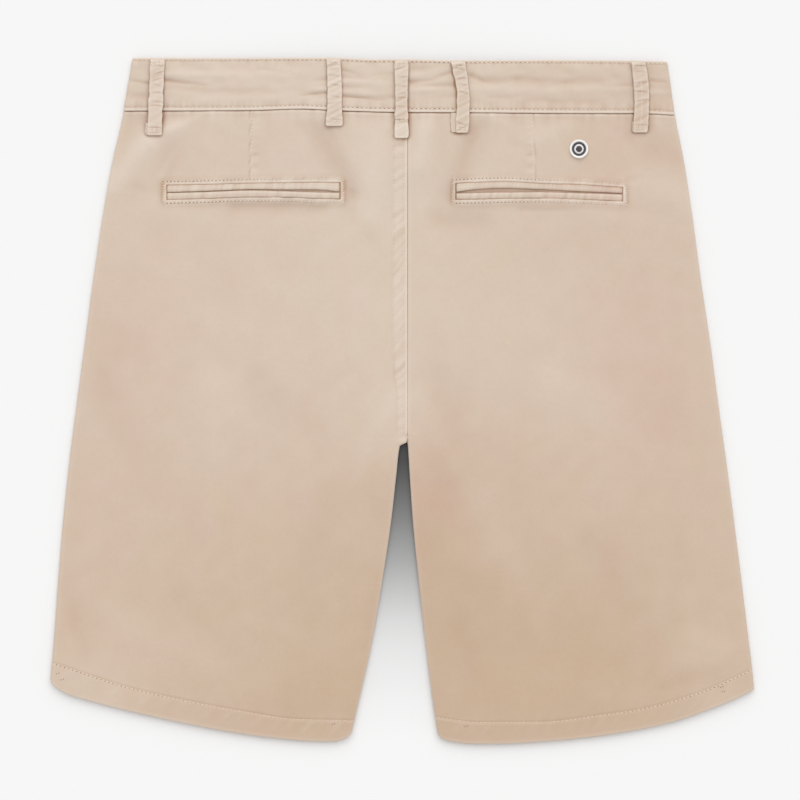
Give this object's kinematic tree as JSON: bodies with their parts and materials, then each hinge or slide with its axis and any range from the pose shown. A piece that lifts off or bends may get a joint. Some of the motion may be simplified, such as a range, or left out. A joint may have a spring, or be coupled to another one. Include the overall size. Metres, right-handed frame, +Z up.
{
  "type": "bermuda shorts",
  "caption": "Knee-length cotton twill shorts, closed and laid flat with the back up, with a looped waistband and welt pockets at the back.",
  "frame": {"origin": "centre of the bounding box's underside, on the surface that the garment lies on", "axes": "+X towards the wearer's right, +Y towards the waist, +Z up out of the garment's back"},
  "size_m": [0.5482, 0.5342, 0.0115],
  "materials": {
    "sand_twill": "matt twill",
    "horn_button": "satin horn effect",
    "badge_metal": "satin nickel"
  },
  "bodies": {
    "root": {"back_left": "sand_twill", "back_right": "sand_twill", "front_left": "sand_twill", "front_right": "sand_twill", "waistband_left": "sand_twill", "waistband_right": "sand_twill", "welt_left_upper": "sand_twill", "welt_left_lower": "sand_twill", "welt_right_upper": "sand_twill", "welt_right_lower": "sand_twill", "loop_back_1": "sand_twill", "loop_back_2": "sand_twill", "loop_back_3": "sand_twill", "loop_back_4": "sand_twill", "loop_back_5": "sand_twill", "loop_front_left": "sand_twill", "loop_front_right": "sand_twill", "waist_button": "horn_button", "badge": "badge_metal"}
  },
  "joints": []
}
